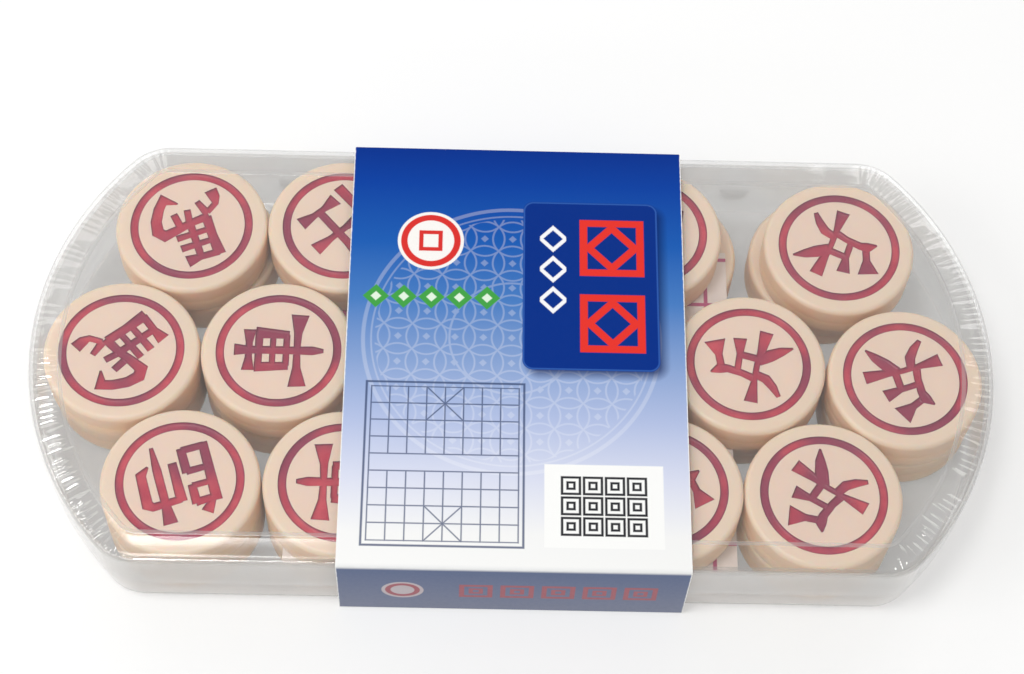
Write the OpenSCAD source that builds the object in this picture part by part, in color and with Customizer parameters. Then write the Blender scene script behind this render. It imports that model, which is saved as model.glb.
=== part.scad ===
// Boxed set of xiangqi (Chinese chess) pieces, as sold: two layers of sixteen discs in a clear
// two-part case, held shut by shrink film, with a printed card sleeve that slides off endways.
// Millimetres. X runs along the case, Y to its back, Z up. The set rests on the sleeve at Z = 0.

/* [Game pieces] */
// Diameter of a piece
piece_d = 35; // [30:0.5:45]
// Thickness of a piece
piece_h = 9.8; // [7:0.1:16]
// Radius of a piece's rounded edges
piece_edge = 1.2; // [0.4:0.1:2.5]
// Outer radius of the ring engraved in a piece's face
ring_r = 14.1; // [11:0.1:14.5]
// Width of the engraved ring
ring_w = 1.9; // [1:0.1:3]
// Depth of the engraved ring
ring_depth = 0.5; // [0.2:0.1:1]

/* [Packing] */
// Least gap between neighbouring pieces of a row
piece_gap = 0.2; // [0.1:0.05:1]
// Spare room between the rows, which lets the pieces shift
row_slack = 2; // [1:0.1:3]
// Gap between the outer rows and the case's long walls
side_gap = 0.4; // [0.2:0.1:2]
// Gap between the middle row and the case's ends
end_gap = 0.9; // [0.5:0.1:3]
// Gap between the pieces and the edge of the lid's panel
lid_play = 0.1; // [0.05:0.05:1]

/* [Folded board] */
// Width of the playing sheet, folded
board_w = 100; // [80:1:140]
// Depth of the playing sheet, folded
board_d = 81; // [60:1:96]
// Gap between the sheet and the case's front wall
board_gap = 2.4; // [1:0.1:4]
// Thickness of the sheet
sheet_t = 0.12; // [0.08:0.01:0.2]
// Air between two layers of the folded sheet
sheet_gap = 0.02; // [0.01:0.01:0.1]
// Layers of the folded sheet
sheet_layers = 4; // [2:1:8]

/* [Case] */
// Wall of the lid's skirt
lid_wall = 0.9; // [0.6:0.1:1.5]
// Thickness of the lid's top
lid_t = 0.8; // [0.6:0.1:1.5]
// Depth of the lid's skirt
skirt_h = 11.8; // [6:0.1:16]
// Rise of the lid's middle panel above its rim
panel_rise = 0.5; // [0.2:0.1:1.5]
// Distance from the lid's edge to its middle panel
panel_inset = 6.9; // [4:0.1:9]
// Bevel on the lid's outer edge
lid_bevel = 0.4; // [0.2:0.1:0.7]
// Wall of the base
base_wall = 0.9; // [0.6:0.1:1.5]
// Thickness of the base's floor
floor_t = 0.8; // [0.6:0.1:1.5]
// Radius between the base's wall and its underside
floor_round = 1.6; // [1.5:0.1:3]
// Running gap between the lid's skirt and the base's wall
case_fit = 0.1; // [0.05:0.05:0.3]
// Radius where the long sides turn into the round ends
corner_r = 12; // [10:0.5:20]
// How far the round ends stand out beyond half a piece
end_ease = 5.4; // [3:0.1:10]
// Distance of the lifting lugs from the middle of the case
lug_x = 53; // [20:1:70]
// Radius of a lifting lug
lug_r = 3.4; // [2:0.1:5]
// How far a lug stands out of the base's wall
lug_out = 0.4; // [0.2:0.1:0.5]
// Gap between a lug and the edge of the skirt above it
lug_gap = 0.5; // [0.2:0.1:2]

/* [Shrink film] */
// Thickness of the film
film_t = 0.1; // [0.05:0.01:0.2]
// Air between the film and the case
film_gap = 0.02; // [0.01:0.01:0.1]

/* [Card sleeve] */
// Length of the sleeve along the case
sleeve_w = 76.4; // [40:0.1:120]
// Thickness of the card
card_t = 0.4; // [0.25:0.05:0.8]
// Outer radius of the card's folds
fold_r = 0.7; // [0.5:0.1:1.5]
// Width of the glued flap inside the sleeve's underside
flap_w = 14; // [8:1:30]
// Gap between the sleeve and the film that it slides on
slide_gap = 0.15; // [0.1:0.05:0.5]
// Where the sleeve sits along the case
sleeve_x = 0.5; // [-10:0.5:10]

/* [Hidden] */
$fn = 64;
end_steps = 20;
corner_steps = 5;
round_steps = 4;

// Rows: six pieces in the middle, five behind and five in front, staggered by half a pitch.
pitch = piece_d + piece_gap;
row_pitch = pitch * sin(60) + row_slack;
middle_n = 6;
outer_n = 5;

// Outline of the case, measured outwards from the pieces.
wall_stack = lid_wall + case_fit + base_wall;
half_w = row_pitch + piece_d / 2 + side_gap + wall_stack;
half_l = (middle_n - 1) / 2 * pitch + piece_d / 2 + end_gap + wall_stack;
end_bulge = pitch / 2 + end_ease;
end_r = (half_w * half_w + end_bulge * end_bulge) / (2 * end_bulge);
end_x = half_l - end_r;
corner_y = half_w - corner_r;
corner_x = end_x + sqrt(pow(end_r - corner_r, 2) - corner_y * corner_y);
corner_a = atan2(corner_y, corner_x - end_x);
base_inset = lid_wall + case_fit;

// Heights, from the sleeve's underside upwards.
board_t = sheet_layers * sheet_t + (sheet_layers - 1) * sheet_gap;
board_y = board_d / 2 + board_gap + wall_stack - half_w;
film_out = film_gap + film_t;
base_z = 2 * card_t + slide_gap + film_out;
floor_z = base_z + floor_t;
rim_z = floor_z + 2 * piece_h + board_t + lid_play + lid_t;
panel_z = rim_z + panel_rise;
skirt_z = rim_z - skirt_h;
sleeve_h = panel_z + film_out + slide_gap + card_t;
sleeve_half = half_w + film_out + slide_gap + card_t;

// How far each piece has slid from its place, in units of the row slack, from left to right.
upper_middle = [[0, -0.4], [0, -0.15], [0, -0.15], [0, -0.15], [0.1, -0.6], [0.2, -1.9]];
upper_back = [[-2.15, -0.3], [-2.2, 0], [-2.25, 0], [-2.3, 0], [2.5, -1.3]];
upper_front = [[-1.05, 0], [-0.95, 0.1], [-0.95, 0], [-0.95, 0.1], [-1, -0.15]];
lower_middle = [[0.1, 0.1], [0, 0.1], [0, 0.1], [0, 0.1], [0, 0.1], [0.2, -1.8]];
lower_back = [[-1.2, 0], [-0.6, 0], [-0.3, 0], [-0.1, 0], [1.35, -0.4]];
lower_front = [[-1.1, 0], [-0.95, 0], [-0.95, 0], [-0.95, 0], [-1, -0.1]];

// Names in the order of the places: the middle row, then the back row, then the front row.
RED = [
    "red_horse_1", "red_chariot_1", "red_elephant_1", "red_advisor_2", "red_soldier_1", "red_soldier_2",
    "red_horse_2", "red_advisor_1", "red_cannon_1", "red_cannon_2", "red_soldier_3",
    "red_general", "red_chariot_2", "red_elephant_2", "red_soldier_4", "red_soldier_5"
];
BLACK = [
    "black_horse_1", "black_soldier_1", "black_chariot_1", "black_cannon_1", "black_elephant_1", "black_general",
    "black_soldier_2", "black_soldier_3", "black_advisor_1", "black_soldier_4", "black_horse_2",
    "black_soldier_5", "black_elephant_2", "black_cannon_2", "black_advisor_2", "black_chariot_2"
];
CASE = ["case_base", "case_lid", "shrink_film", "card_sleeve", "folded_board"];

ivory = [0.93, 0.87, 0.76];
clear_plastic = [0.84, 0.85, 0.85, 0.4];
clear_film = [0.95, 0.96, 0.98, 0.2];
card_blue = [0.05, 0.31, 0.64];
board_white = [0.93, 0.87, 0.84];

// Places of one row of n pieces at height y, each moved by its own drift.
function row(n, y, drift) =
    [for (i = [0 : n - 1]) [(i - (n - 1) / 2) * pitch, y] + row_slack * drift[i]];
function layer(middle, back, front) =
    concat(row(middle_n, 0, middle), row(outer_n, row_pitch, back), row(outer_n, -row_pitch, front));
upper_places = layer(upper_middle, upper_back, upper_front);
lower_places = layer(lower_middle, lower_back, lower_front);

// An upper piece lies on the folded board, or past the board's edge on the piece below it.
function upper_z(place) =
    floor_z + piece_h + (abs(place[0]) - piece_d / 2 < board_w / 2 ? board_t : 0);

// Points of an arc, from angle a0 to angle a1.
function arc(centre, r, a0, a1, steps) =
    [for (i = [0 : steps]) let (a = a0 + (a1 - a0) * i / steps) centre + r * [cos(a), sin(a)]];

// The case's plan drawn in by inset: two round ends, four corners and two straight sides.
function outline(inset) = concat(
    arc([end_x, 0], end_r - inset, -corner_a, corner_a, end_steps),
    arc([corner_x, corner_y], corner_r - inset, corner_a, 90, corner_steps),
    arc([-corner_x, corner_y], corner_r - inset, 90, 180 - corner_a, corner_steps),
    arc([-end_x, 0], end_r - inset, 180 - corner_a, 180 + corner_a, end_steps),
    arc([-corner_x, -corner_y], corner_r - inset, 180 + corner_a, 270, corner_steps),
    arc([corner_x, -corner_y], corner_r - inset, 270, 360 - corner_a, corner_steps)
);

// Levels of the rounded edge between a wall at the given inset and an underside at z.
function edge_levels(inset, z, r) =
    [for (i = [0 : round_steps]) let (a = 90 * i / round_steps) [inset + r * (1 - sin(a)), z + r * (1 - cos(a))]];

// A solid whose plan is the case's outline, at each level [inset, z] from the bottom up.
module loft(levels) {
    ring = [for (i = [0 : len(outline(0)) - 1]) i];
    n = len(ring);
    top = (len(levels) - 1) * n;
    polyhedron(
        points = [for (level = levels) for (p = outline(level[0])) [p[0], p[1], level[1]]],
        faces = concat(
            [ring],
            [[for (i = ring) top + n - 1 - i]],
            [for (k = [0 : len(levels) - 2]) for (i = ring) let (a = k * n + i, b = k * n + (i + 1) % n)
                each [[b, a, a + n], [b, a + n, b + n]]]
        )
    );
}

// The tray: a floor with a rounded edge and a wall that the lid's rim sits on.
module case_base() {
    color(clear_plastic) {
        difference() {
            loft(concat(edge_levels(base_inset, base_z, floor_round), [[base_inset, rim_z - lid_t]]));
            loft(concat(
                edge_levels(wall_stack, floor_z, floor_round - base_wall),
                [[wall_stack, rim_z]]
            ));
        }
        for (side = [-1, 1]) {
            for (end = [-1, 1]) {
                lifting_lug(end * lug_x, side);
            }
        }
    }
}

// A half-round lug under the skirt's edge, where a thumb pushes the lid up.
module lifting_lug(x, side) {
    wall_y = half_w - base_inset;
    lug_z = skirt_z - lug_gap - lug_r;
    reach = base_wall / 2 + lug_out;
    translate([x, side * (wall_y - base_wall / 2 + reach / 2), lug_z])
        rotate([90, 0, 0])
            intersection() {
                cylinder(r = lug_r, h = reach, center = true);
                translate([0, lug_r / 2, 0])
                    cube([2 * lug_r, lug_r, 2 * reach], center = true);
            }
}

// The lid: a skirt over the base, a flat rim that rests on it and a panel raised by a sloped border.
module case_lid() {
    color(clear_plastic)
        difference() {
            loft([
                [0, skirt_z],
                [0, rim_z - lid_bevel],
                [lid_bevel, rim_z],
                [wall_stack, rim_z],
                [panel_inset, panel_z]
            ]);
            loft([
                [lid_wall, skirt_z - lid_t],
                [lid_wall, rim_z - lid_t],
                [wall_stack, rim_z - lid_t],
                [panel_inset, panel_z - lid_t]
            ]);
        }
}

// Outside of the closed case grown by g: the film bridges from the skirt to the base's round edge.
module case_hull(g) {
    loft(concat(
        edge_levels(base_inset - g, base_z - g, floor_round),
        [[-g, skirt_z], [-g, rim_z], [panel_inset - g, panel_z + g]]
    ));
}

// Shrink film drawn tight round the closed case.
module shrink_film() {
    color(clear_film)
        difference() {
            case_hull(film_out);
            case_hull(film_gap);
        }
}

// A rectangle with round corners, standing on y = 0.
module fold_rect(half, height, r) {
    union() {
        translate([-half + r, 0])
            square([2 * (half - r), height]);
        translate([-half, r])
            square([2 * half, height - 2 * r]);
        for (x = [-half + r, half - r]) {
            for (y = [r, height - r]) {
                translate([x, y])
                    circle(r);
            }
        }
    }
}

// The card sleeve: one strip folded round the case and closed by a flap glued inside its underside.
module card_sleeve() {
    color(card_blue)
        translate([sleeve_x - sleeve_w / 2, 0, 0])
            rotate([90, 0, 90])
                linear_extrude(sleeve_w) {
                    difference() {
                        fold_rect(sleeve_half, sleeve_h, fold_r);
                        translate([0, card_t])
                            fold_rect(sleeve_half - card_t, sleeve_h - 2 * card_t, fold_r - card_t);
                    }
                    translate([sleeve_half - card_t - flap_w, card_t / 2])
                        square([flap_w - fold_r, 1.5 * card_t]);
                }
}

// The playing sheet, folded to and fro into a flat pad between the two layers.
module folded_board() {
    step = sheet_t + sheet_gap;
    color(board_white)
        translate([0, board_y, floor_z + piece_h])
            rotate([90, 0, 0])
                linear_extrude(board_d, center = true) {
                    for (k = [0 : sheet_layers - 1]) {
                        translate([-board_w / 2, k * step])
                            square([board_w, sheet_t]);
                    }
                    for (k = [0 : sheet_layers - 2]) {
                        translate([k % 2 == 0 ? board_w / 2 - sheet_t : -board_w / 2, k * step])
                            square([sheet_t, step + sheet_t]);
                    }
                }
}

// A disc with rounded edges and a ring engraved in its upper face.
module game_piece() {
    rotate_extrude()
        difference() {
            intersection() {
                fold_rect(piece_d / 2, piece_h, piece_edge);
                square([piece_d, piece_h]);
            }
            translate([ring_r - ring_w, piece_h - ring_depth])
                square([ring_w, 2 * ring_depth]);
        }
}

// A red piece of the upper layer, face up.
module red_piece(i) {
    place = upper_places[i];
    color(ivory)
        translate([place[0], place[1], upper_z(place)])
            game_piece();
}

// A black piece of the lower layer, face down on the base's floor.
module black_piece(i) {
    place = lower_places[i];
    color(ivory)
        translate([place[0], place[1], floor_z + piece_h])
            rotate([180, 0, 0])
                game_piece();
}

case_base();
case_lid();
shrink_film();
card_sleeve();
folded_board();
for (i = [0 : len(RED) - 1]) {
    red_piece(i);
}
for (i = [0 : len(BLACK) - 1]) {
    black_piece(i);
}
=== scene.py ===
import math

import bmesh
import bpy
from mathutils import Matrix, Vector


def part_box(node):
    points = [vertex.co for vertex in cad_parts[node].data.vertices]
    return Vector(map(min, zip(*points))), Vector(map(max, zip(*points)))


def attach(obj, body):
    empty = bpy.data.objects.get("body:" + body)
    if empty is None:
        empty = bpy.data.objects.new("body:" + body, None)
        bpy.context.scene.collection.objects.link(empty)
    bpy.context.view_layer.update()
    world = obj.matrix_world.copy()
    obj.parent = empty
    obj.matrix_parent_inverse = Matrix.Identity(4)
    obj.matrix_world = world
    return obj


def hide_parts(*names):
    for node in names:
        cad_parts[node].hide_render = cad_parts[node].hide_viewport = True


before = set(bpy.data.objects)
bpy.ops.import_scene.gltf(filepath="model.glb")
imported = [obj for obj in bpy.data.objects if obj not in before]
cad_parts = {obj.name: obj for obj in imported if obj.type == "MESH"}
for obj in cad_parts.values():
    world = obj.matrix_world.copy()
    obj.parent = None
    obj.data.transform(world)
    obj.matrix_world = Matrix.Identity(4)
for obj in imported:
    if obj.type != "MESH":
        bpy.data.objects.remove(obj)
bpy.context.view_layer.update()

# The set lies on a white table and is seen from above its long front side.
# The camera is placed by the photograph's own angle, distance and tilt.
MM = 0.001
AIM = Vector((-0.4, 4.3, 22.0)) * MM
DISTANCE = 507.2 * MM
AZIMUTH = math.radians(-2.79)
ELEVATION = math.radians(62.42)
ROLL = math.radians(3.70)
FOCAL_PX = 2244.2
FRAME_PX = 1024.0
SENSOR = 36.0

toward = Vector((
    math.sin(AZIMUTH) * math.cos(ELEVATION),
    -math.cos(AZIMUTH) * math.cos(ELEVATION),
    math.sin(ELEVATION),
))
level = Vector((0, 0, 1)).cross(toward).normalized()
upright = toward.cross(level)
across = math.cos(ROLL) * level + math.sin(ROLL) * upright
above = -math.sin(ROLL) * level + math.cos(ROLL) * upright
place = AIM + DISTANCE * toward

camera = bpy.data.objects.new("camera", bpy.data.cameras.new("camera"))
camera.data.sensor_width = SENSOR
camera.data.lens = FOCAL_PX / FRAME_PX * SENSOR
camera.data.clip_start = 0.01
camera.matrix_world = Matrix((
    (across.x, above.x, toward.x, place.x),
    (across.y, above.y, toward.y, place.y),
    (across.z, above.z, toward.z, place.z),
    (0, 0, 0, 1),
))
scene = bpy.context.scene
scene.collection.objects.link(camera)
scene.camera = camera
scene.view_settings.view_transform = "Standard"
# Film, lid, tray and film again lie over one another, two faces each.
scene.cycles.transparent_max_bounces = 32


def linear(code):
    """The linear colour of an sRGB hex value."""
    parts = [int(code[i:i + 2], 16) / 255 for i in (1, 3, 5)]
    return tuple(p / 12.92 if p <= 0.04045 else ((p + 0.055) / 1.055) ** 2.4 for p in parts) + (1.0,)


class Wire:
    """A node's output. Python's operators on it add Math nodes to its tree."""

    def __init__(self, socket):
        self.socket = socket

    def math(self, operation, *others, **settings):
        return add(self.socket.id_data, "ShaderNodeMath", self, *others, operation=operation, **settings)

    def span(self, *ends, **settings):
        """Takes one range of values to another, clamped at its ends."""
        return add(self.socket.id_data, "ShaderNodeMapRange", self, *ends, **settings)

    def __add__(self, other):
        return self.math("ADD", other)

    def __sub__(self, other):
        return self.math("SUBTRACT", other)

    def __mul__(self, other):
        return self.math("MULTIPLY", other)

    def __truediv__(self, other):
        return self.math("DIVIDE", other)

    def __lt__(self, other):
        return self.math("LESS_THAN", other)

    def __gt__(self, other):
        return self.math("GREATER_THAN", other)

    def __abs__(self):
        return self.math("ABSOLUTE")


def most(first, *others):
    """The greatest of a wire and other values."""
    for other in others:
        first = first.math("MAXIMUM", other)
    return first


def add(tree, kind, *values, into=None, out=0, **settings):
    """Adds a node with its settings, feeds its inputs and returns one of its outputs."""
    node = tree.nodes.new(kind)
    for key, value in settings.items():
        setattr(node, key, value)
    for key, value in list(enumerate(values)) + list((into or {}).items()):
        for one in value if isinstance(value, list) else [value]:
            if isinstance(one, Wire):
                tree.links.new(one.socket, node.inputs[key])
            else:
                node.inputs[key].default_value = one
    return Wire(node.outputs[out]) if node.outputs else None


def outputs(wire):
    """Every output, by name, of the node that a wire comes from."""
    return {socket.name: Wire(socket) for socket in wire.socket.node.outputs}


def new_material(name):
    """An empty node material and its tree."""
    material = bpy.data.materials.new(name)
    material.use_nodes = True
    material.node_tree.nodes.clear()
    return material, material.node_tree


def noise(tree, where, size, detail, roughness=0.5):
    """Noise with features of a size in millimetres."""
    return add(tree, "ShaderNodeTexNoise", into={
        "Vector": where, "Scale": 1 / (size * MM), "Detail": detail, "Roughness": roughness})


def blend(tree, share, first, second):
    """A colour between two others, each a wire or a hex value."""
    first, second = (linear(c) if isinstance(c, str) else c for c in (first, second))
    return add(tree, "ShaderNodeMix", into={0: share, 6: first, 7: second}, out=2, data_type="RGBA")


def bump(tree, height, strength, depth):
    """A fine relief in the shading, of a depth in millimetres."""
    return add(tree, "ShaderNodeBump", into={"Strength": strength, "Distance": depth * MM, "Height": height})


def solid(tree, colour, roughness, ior, relief, more=None):
    """A Principled surface; more holds any further inputs."""
    return add(tree, "ShaderNodeBsdfPrincipled", into={
        "Base Color": colour, "Roughness": roughness, "IOR": ior, "Normal": relief, **(more or {})})


# Table: matt white laminate, which shows white to the eye but keeps the set's soft shadow.
TABLE_HALF = 1.5
TABLE_DROP = 0.05 * MM
GLOW_SHARE = 0.4
table_white, tree = new_material("white_table_laminate")
rays = outputs(add(tree, "ShaderNodeLightPath"))
seen = most(rays["Is Camera Ray"], rays["Is Glossy Ray"], rays["Is Transmission Ray"])
matt = add(tree, "ShaderNodeBsdfDiffuse", linear("#fdfdfc"))
glow = add(tree, "ShaderNodeEmission", linear("#ffffff"), 1.0)
add(tree, "ShaderNodeOutputMaterial", add(tree, "ShaderNodeMixShader", seen * GLOW_SHARE, matt, glow))
mesh = bpy.data.meshes.new("table")
corners = [(x * TABLE_HALF, y * TABLE_HALF, -TABLE_DROP) for x, y in ((-1, -1), (1, -1), (1, 1), (-1, 1))]
mesh.from_pydata(corners, [], [(0, 1, 2, 3)])
mesh.materials.append(table_white)
table = bpy.data.objects.new("table", mesh)
scene.collection.objects.link(table)

# Room: it lights the set softly from all sides and shows as plain white.
ROOM_LIGHT = 0.44
world = bpy.data.worlds.new("white_room")
scene.world = world
world.use_nodes = True
tree = world.node_tree
tree.nodes.clear()
rays = outputs(add(tree, "ShaderNodeLightPath"))
seen = most(rays["Is Camera Ray"], rays["Is Transmission Ray"])
room = add(tree, "ShaderNodeBackground", linear("#ffffff"), ROOM_LIGHT)
wall = add(tree, "ShaderNodeBackground", linear("#ffffff"), 1.0)
add(tree, "ShaderNodeOutputWorld", add(tree, "ShaderNodeMixShader", seen, room, wall))

# Lamps: a small soft box overhead, a broad one on the left, two behind and a long strip in front.
LAMPS = (
    ("soft_box_overhead", (-0.24, -0.15, 0.95), 0.25, 0.25, 3.0),
    ("soft_box_left", (-0.85, -0.30, 0.75), 0.60, 0.60, 3.8),
    ("soft_box_back_right", (0.55, 0.80, 0.70), 0.50, 0.50, 2.0),
    ("soft_box_back_left", (-0.55, 0.75, 0.75), 0.50, 0.50, 1.3),
    ("strip_light_front", (0.0, -1.05, 0.55), 1.30, 0.12, 0.85),
)
for name, spot, width, depth, watts in LAMPS:
    lamp = bpy.data.lights.new(name, "AREA")
    lamp.shape = "RECTANGLE"
    lamp.size, lamp.size_y = width, depth
    lamp.energy = watts
    holder = bpy.data.objects.new(name, lamp)
    holder.location = spot
    holder.rotation_euler = (-Vector(spot)).to_track_quat("-Z", "Y").to_euler()
    scene.collection.objects.link(holder)

# Case: tray and lid are thin injection mouldings of milky clear polypropylene.
# Both follow one plan: long straight sides, bowed ends and a corner arc between them.
lid_low, lid_high = (Vector(c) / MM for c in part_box("case_lid"))
base_low, base_high = (Vector(c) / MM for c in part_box("case_base"))
HALF_L, HALF_W = lid_high.x, lid_high.y
END_BULGE = 23.0
CORNER_R = 12.0
END_R = (HALF_W ** 2 + END_BULGE ** 2) / (2 * END_BULGE)
END_X = HALF_L - END_R
CORNER_Y = HALF_W - CORNER_R
CORNER_X = END_X + math.sqrt((END_R - CORNER_R) ** 2 - CORNER_Y ** 2)
CORNER_A = math.atan2(CORNER_Y, CORNER_X - END_X)


def case_plan(inset, end_n, corner_n, side_n):
    """Points of the case's plan drawn in by inset, all round from the right end's front corner."""
    points = []
    right = math.pi / 2
    arcs = (
        (END_X, 0, END_R, -CORNER_A, CORNER_A, end_n),
        (CORNER_X, CORNER_Y, CORNER_R, CORNER_A, right, corner_n),
        None,
        (-CORNER_X, CORNER_Y, CORNER_R, right, 2 * right - CORNER_A, corner_n),
        (-END_X, 0, END_R, 2 * right - CORNER_A, 2 * right + CORNER_A, end_n),
        (-CORNER_X, -CORNER_Y, CORNER_R, 2 * right + CORNER_A, 3 * right, corner_n),
        None,
        (CORNER_X, -CORNER_Y, CORNER_R, 3 * right, 4 * right - CORNER_A, corner_n),
    )
    for arc in arcs:
        if arc is None:
            side = 1 if points[-1][1] > 0 else -1
            for i in range(side_n):
                x = side * CORNER_X * (1 - 2 * i / side_n)
                points.append((x, side * (HALF_W - inset)))
        else:
            cx, cy, r, a0, a1, n = arc
            for i in range(n):
                a = a0 + (a1 - a0) * i / n
                points.append((cx + (r - inset) * math.cos(a), cy + (r - inset) * math.sin(a)))
    return points


def quarter(inset, z, r, start, end, n=6):
    """Levels of a rounded edge round the centre (inset, z), by angle from the level direction."""
    turns = [math.radians(start + (end - start) * i / n) for i in range(n + 1)]
    return [(inset + r * math.cos(a), z + r * math.sin(a)) for a in turns]


def bridge(work, a, b):
    """Faces from one ring of points to the next."""
    n = len(a)
    return [work.faces.new((a[i], a[(i + 1) % n], b[(i + 1) % n], b[i])) for i in range(n)]


def closed_rings(work, rings):
    """A closed body through a list of rings, its faces outward."""
    made = [work.faces.new(rings[0]), work.faces.new(rings[-1])]
    for a, b in zip(rings, rings[1:]):
        made += bridge(work, a, b)
    bmesh.ops.recalc_face_normals(work, faces=made)


def as_mesh(work, name):
    """The mesh of a finished bmesh."""
    mesh = bpy.data.meshes.new(name)
    work.to_mesh(mesh)
    work.free()
    return mesh


def case_shell(name, outer, inner, steps):
    """A closed moulded shell: walls through both lists of levels, caps at their ends, a lip between."""
    shell = bmesh.new()
    walls = []
    for levels in (outer, inner):
        rings = []
        for inset, z in levels:
            plan = case_plan(inset, *steps)
            rings.append([shell.verts.new((x * MM, y * MM, z * MM)) for x, y in plan])
        walls.append(rings)
    for rings in walls:
        for a, b in zip(rings, rings[1:]):
            bridge(shell, a, b)
    bridge(shell, walls[0][0], walls[1][0])
    for rings in walls:
        shell.faces.new(rings[-1])
    bmesh.ops.recalc_face_normals(shell, faces=shell.faces)
    return as_mesh(shell, name)


def smooth_by_angle(mesh, degrees):
    """Shades a mesh smooth, with edges sharper than the angle kept crisp."""
    work = bmesh.new()
    work.from_mesh(mesh)
    for face in work.faces:
        face.smooth = True
    for edge in work.edges:
        edge.smooth = len(edge.link_faces) == 2 and edge.calc_face_angle(0) < math.radians(degrees)
    work.to_mesh(mesh)
    work.free()


def place_piece(name, mesh, body, nodes):
    """Puts a finished mesh in the scene as a piece that stands for CAD nodes."""
    piece = bpy.data.objects.new(name, mesh)
    scene.collection.objects.link(piece)
    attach(piece, body)
    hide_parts(*nodes)
    return piece


def finish_clear(tree, body, facing, relief, roughness, gloss):
    """Ends a clear material: a mirror gloss that grows edge on, and nothing on the far face of a wall."""
    mirror = add(tree, "ShaderNodeBsdfAnisotropic", into={
        "Color": linear("#ffffff"), "Roughness": roughness, "Normal": relief})
    share = facing.math("POWER", 5.0).math("MULTIPLY_ADD", 0.8, gloss)
    wall = add(tree, "ShaderNodeMixShader", share, body, mirror)
    away = add(tree, "ShaderNodeNewGeometry", out="Backfacing")
    clear = add(tree, "ShaderNodeBsdfTransparent")
    add(tree, "ShaderNodeOutputMaterial", add(tree, "ShaderNodeMixShader", away, wall, clear))


# Polypropylene, moulded thin and unpigmented: clear face on, milky grey edge on, with a soft gloss. The tray
# is the milkier one. One pass through a wall counts once, so the far face of a wall adds nothing.
plastics = {}
for name, thin, thick, passed_on, dull, bright in (
    ("clear_polypropylene", 0.035, 0.25, 0.35, "#cbcccb", "#dfe0df"),
    ("milky_polypropylene", 0.52, 0.72, 0.75, "#c0c1c1", "#d4d5d4"),
):
    plastics[name], tree = new_material(name)
    where = add(tree, "ShaderNodeTexCoord", out="Object")
    facing = add(tree, "ShaderNodeLayerWeight", into={"Blend": 0.5}, out="Facing")
    cloud = noise(tree, where, 18, 3.0)
    milk = facing.span(0.08, 0.75, thin, thick, interpolation_type="SMOOTHSTEP")
    fold = add(tree, "ShaderNodeAttribute", attribute_name="moulded_edge", out="Fac")
    milk = most(milk * cloud.span(0.3, 0.7, 0.88, 1.12), fold)
    relief = bump(tree, noise(tree, where, 1.5, 4.0), 0.12, 0.05)
    grey = blend(tree, cloud, dull, bright)
    body = solid(tree, grey, 0.35, 1.49, relief)
    body = add(tree, "ShaderNodeMixShader", passed_on, body, add(tree, "ShaderNodeBsdfTranslucent", grey))
    body = add(tree, "ShaderNodeMixShader", milk, add(tree, "ShaderNodeBsdfTransparent"), body)
    finish_clear(tree, body, facing, relief, 0.16, 0.04)

# Tray: a floor with a rounded edge and an upright wall, with half-round lugs that lift the lid.
CASE_STEPS = (72, 20, 8)
BASE_INSET, BASE_WALL = 1.0, 0.9
FLOOR_T, FLOOR_R = 0.8, 1.6
EDGE_BREAK = 0.1
inner_r = FLOOR_R - BASE_WALL
wall_in = BASE_INSET + BASE_WALL
top_z, low_z = base_high.z, base_low.z
outer = [(BASE_INSET + EDGE_BREAK, top_z), (BASE_INSET, top_z - EDGE_BREAK)]
outer += quarter(BASE_INSET + FLOOR_R, low_z + FLOOR_R, FLOOR_R, 180, 270)
inner = [(wall_in - EDGE_BREAK, top_z), (wall_in, top_z - EDGE_BREAK)]
inner += quarter(BASE_INSET + FLOOR_R, low_z + FLOOR_T + inner_r, inner_r, 180, 270)
tray = case_shell("case_tray", outer, inner, CASE_STEPS)

LUG_X, LUG_R, LUG_OUT, LUG_ROOT = 53.0, 3.4, 0.4, 0.45
LUG_TOP = lid_low.z - 0.5
# How far a lug is drawn in, and how far it stands out of the wall.
LUG_LEVELS = ((0.0, -LUG_ROOT), (0.0, LUG_OUT - 0.2), (0.06, LUG_OUT - 0.06), (0.2, LUG_OUT))
HALF_TURN = [math.pi * (1 + i / 24) for i in range(25)]
work = bmesh.new()
work.from_mesh(tray)
for end in (-1, 1):
    for side in (-1, 1):
        rings = []
        for draw_in, out in LUG_LEVELS:
            r = LUG_R - draw_in
            rings.append([work.verts.new((
                (end * LUG_X + r * math.cos(a)) * MM,
                side * (HALF_W - BASE_INSET + out) * MM,
                (LUG_TOP - draw_in + r * math.sin(a)) * MM)) for a in HALF_TURN])
        closed_rings(work, rings)
work.to_mesh(tray)
work.free()
smooth_by_angle(tray, 32)
tray.materials.append(plastics["milky_polypropylene"])
place_piece("case_tray", tray, "boxed_set", ["case_base"])

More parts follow.
